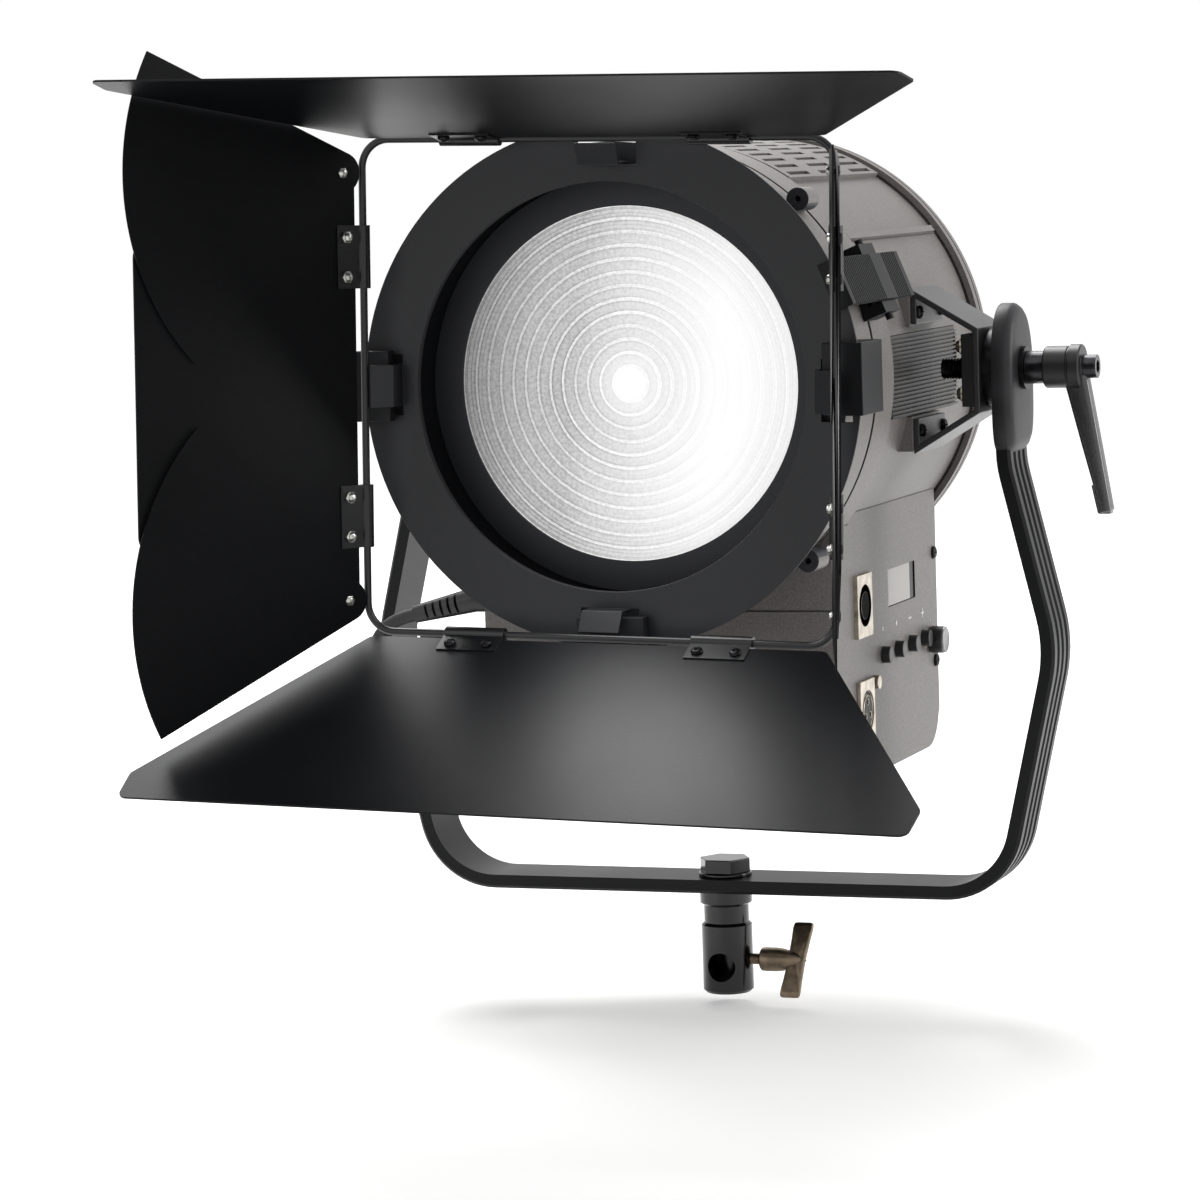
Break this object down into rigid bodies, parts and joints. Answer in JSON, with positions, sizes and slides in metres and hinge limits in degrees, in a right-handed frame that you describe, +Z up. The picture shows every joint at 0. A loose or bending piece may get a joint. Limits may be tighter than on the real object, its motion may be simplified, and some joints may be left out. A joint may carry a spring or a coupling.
{
  "type": "led fresnel light",
  "caption": "Studio fresnel lamp head in a tilting stirrup yoke, with a stepped lens, a control box, barn doors with folding leaves and a spigot receiver.",
  "frame": {"origin": "centre of the mouth of the receiver's 16 mm stud socket, under the yoke", "axes": "+Z up along the socket, -Y to the front where the light leaves, +X to the side with the clamping lever and the control panel"},
  "size_m": [0.4147, 0.4602, 0.4999],
  "materials": {
    "black_powder_coat": "fine textured satin black",
    "black_cast_housing": "cast, textured black paint",
    "grey_texture_paint": "sheet, textured warm grey paint",
    "dark_aluminium": "dark anodised",
    "nickel_steel": "nickel plated",
    "black_steel": "black oxide",
    "moulded_black": "fine matt",
    "lead_sheath": "matt",
    "tie_strap": "woven",
    "lens_glass": "stepped clear glass",
    "display_cover": "glossy",
    "board_and_case": "solder mask",
    "led_board": "yellow phosphor"
  },
  "bodies": {
    "stirrup": {"yoke": "black_powder_coat", "receiver": "black_powder_coat", "receiver_bolt": "black_steel", "pivot_washers": "black_steel", "knuckle_covers": "moulded_black"},
    "wing": {"wing_screw": "nickel_steel"},
    "clamp": {"lever_bush": "nickel_steel", "clamp_lever": "moulded_black"},
    "head": {"side_brackets": "black_powder_coat", "case_screws": "black_steel", "clamp_blocks": "dark_aluminium", "pivot_bolts": "nickel_steel", "upper_shell": "grey_texture_paint", "lower_shell": "grey_texture_paint", "ribbed_panels": "dark_aluminium", "bezel": "black_cast_housing", "lens_keeper": "black_cast_housing", "fresnel_lens": "lens_glass", "rear_cover": "black_cast_housing", "control_box": "grey_texture_paint", "display": "display_cover", "power_inlet": "nickel_steel", "data_socket": "moulded_black", "chassis": "dark_aluminium", "fan_frame": "moulded_black", "power_supply": "board_and_case", "driver_board": "board_and_case", "ring_ears": "black_cast_housing", "latch_base": "moulded_black", "cable_gland": "moulded_black", "lead_tube": "lead_sheath", "lead_coil": "lead_sheath", "plug": "moulded_black", "lead_tie": "tie_strap"},
    "barn_set": {"barn_ring": "black_powder_coat", "wire_frame": "black_powder_coat"},
    "top_panel": {"top_door": "black_powder_coat", "top_hinges": "black_powder_coat"},
    "bottom_panel": {"bottom_door": "black_powder_coat", "bottom_hinges": "black_powder_coat"},
    "left_panel": {"left_door": "black_powder_coat", "left_hinges": "black_powder_coat"},
    "right_panel": {"right_door": "black_powder_coat", "right_hinges": "black_powder_coat"},
    "left_upper_wing": {"left_upper_leaf": "black_powder_coat"},
    "left_lower_wing": {"left_lower_leaf": "black_powder_coat"},
    "right_upper_wing": {"right_upper_leaf": "black_powder_coat"},
    "right_lower_wing": {"right_lower_leaf": "black_powder_coat"},
    "latch": {"latch_arm": "moulded_black"},
    "button_1": {"button_1": "moulded_black"},
    "button_2": {"button_2": "moulded_black"},
    "button_3": {"button_3": "moulded_black"},
    "button_4": {"button_4": "moulded_black"},
    "release": {"release_tab": "moulded_black"},
    "dimmer": {"brightness_knob": "moulded_black"},
    "fan": {"fan_rotor": "moulded_black"},
    "focus": {"focus_screw": "nickel_steel"},
    "carriage": {"heat_sink": "dark_aluminium", "led_emitter": "led_board"}
  },
  "joints": [
    {"name": "head_tilt", "type": "hinge", "parent": "stirrup", "child": "head", "pos_m": [0, 0, 0.3275], "axis": [-1, 0, 0], "range_deg": [-40, 90]},
    {"name": "clamp_turn", "type": "hinge", "parent": "head", "child": "clamp", "pos_m": [0.18, 0, 0.3275], "axis": [1, 0, 0], "range_deg": [-90, 90]},
    {"name": "wing_turn", "type": "hinge", "parent": "stirrup", "child": "wing", "pos_m": [0.02, 0, 0.0175], "axis": [1, 0, 0], "range_deg": [-180, 180]},
    {"name": "barn_turn", "type": "hinge", "parent": "head", "child": "barn_set", "pos_m": [0, -0.1568, 0.329], "axis": [0, 1, 0], "range_deg": [-180, 180]},
    {"name": "top_door_turn", "type": "hinge", "parent": "barn_set", "child": "top_panel", "pos_m": [0.00326, -0.1742, 0.45036], "axis": [-0.9996, 0, 0.0269], "range_deg": [-11, 80]},
    {"name": "bottom_door_turn", "type": "hinge", "parent": "barn_set", "child": "bottom_panel", "pos_m": [-0.00326, -0.1742, 0.20764], "axis": [0.9996, 0, -0.0269], "range_deg": [-4, 64]},
    {"name": "left_door_turn", "type": "hinge", "parent": "barn_set", "child": "left_panel", "pos_m": [-0.12136, -0.1742, 0.33226], "axis": [-0.0269, 0, -0.9996], "range_deg": [-1.5, 65]},
    {"name": "right_door_turn", "type": "hinge", "parent": "barn_set", "child": "right_panel", "pos_m": [0.12136, -0.1742, 0.32574], "axis": [0.0269, 0, 0.9996], "range_deg": [-100, 60]},
    {"name": "left_upper_leaf_turn", "type": "hinge", "parent": "left_panel", "child": "left_upper_wing", "pos_m": [-0.12554, -0.18526, 0.43771], "axis": [-0.844, 0.5358, 0.0227], "range_deg": [-22, 0]},
    {"name": "left_lower_leaf_turn", "type": "hinge", "parent": "left_panel", "child": "left_lower_wing", "pos_m": [-0.1312, -0.18526, 0.22719], "axis": [0.844, -0.5358, -0.0227], "range_deg": [-22, 0]},
    {"name": "right_upper_leaf_turn", "type": "hinge", "parent": "right_panel", "child": "right_upper_wing", "pos_m": [0.12812, -0.18669, 0.43089], "axis": [-0.9534, -0.3007, 0.0256], "range_deg": [0, 11]},
    {"name": "right_lower_leaf_turn", "type": "hinge", "parent": "right_panel", "child": "right_lower_wing", "pos_m": [0.12246, -0.18669, 0.22037], "axis": [0.9534, 0.3007, -0.0256], "range_deg": [0, 22]},
    {"name": "latch_lift", "type": "hinge", "parent": "head", "child": "latch", "pos_m": [0.1184, -0.095, 0.37684], "axis": [-0.3746, 0, 0.9272], "range_deg": [0, 7]},
    {"name": "button_1_press", "type": "slide", "parent": "head", "child": "button_1", "axis": [-1, 0, 0], "range_m": [0, 0.0015], "stiffness_N_per_m": 600},
    {"name": "button_2_press", "type": "slide", "parent": "head", "child": "button_2", "axis": [-1, 0, 0], "range_m": [0, 0.0015], "stiffness_N_per_m": 600},
    {"name": "button_3_press", "type": "slide", "parent": "head", "child": "button_3", "axis": [-1, 0, 0], "range_m": [0, 0.0015], "stiffness_N_per_m": 600},
    {"name": "button_4_press", "type": "slide", "parent": "head", "child": "button_4", "axis": [-1, 0, 0], "range_m": [0, 0.0015], "stiffness_N_per_m": 600},
    {"name": "release_press", "type": "slide", "parent": "head", "child": "release", "axis": [-1, 0, 0], "range_m": [0, 0.002], "stiffness_N_per_m": 500},
    {"name": "brightness_turn", "type": "hinge", "parent": "head", "child": "dimmer", "pos_m": [0.093, 0.0805, 0.1785], "axis": [1, 0, 0], "range_deg": [-150, 150]},
    {"name": "fan_spin", "type": "hinge", "parent": "head", "child": "fan", "pos_m": [0, 0.095, 0.329], "axis": [0, 1, 0], "continuous": true},
    {"name": "focus_turn", "type": "hinge", "parent": "head", "child": "focus", "pos_m": [0, 0.1, 0.2475], "axis": [0, 1, 0], "range_deg": [0, 1080]},
    {"name": "carriage_slide", "type": "slide", "parent": "head", "child": "carriage", "axis": [0, -1, 0], "range_m": [0, 0.048]}
  ],
  "couplings": [
    {"joint": "focus_turn", "follows": "carriage_slide", "rad_per_m": 392.7}
  ]
}
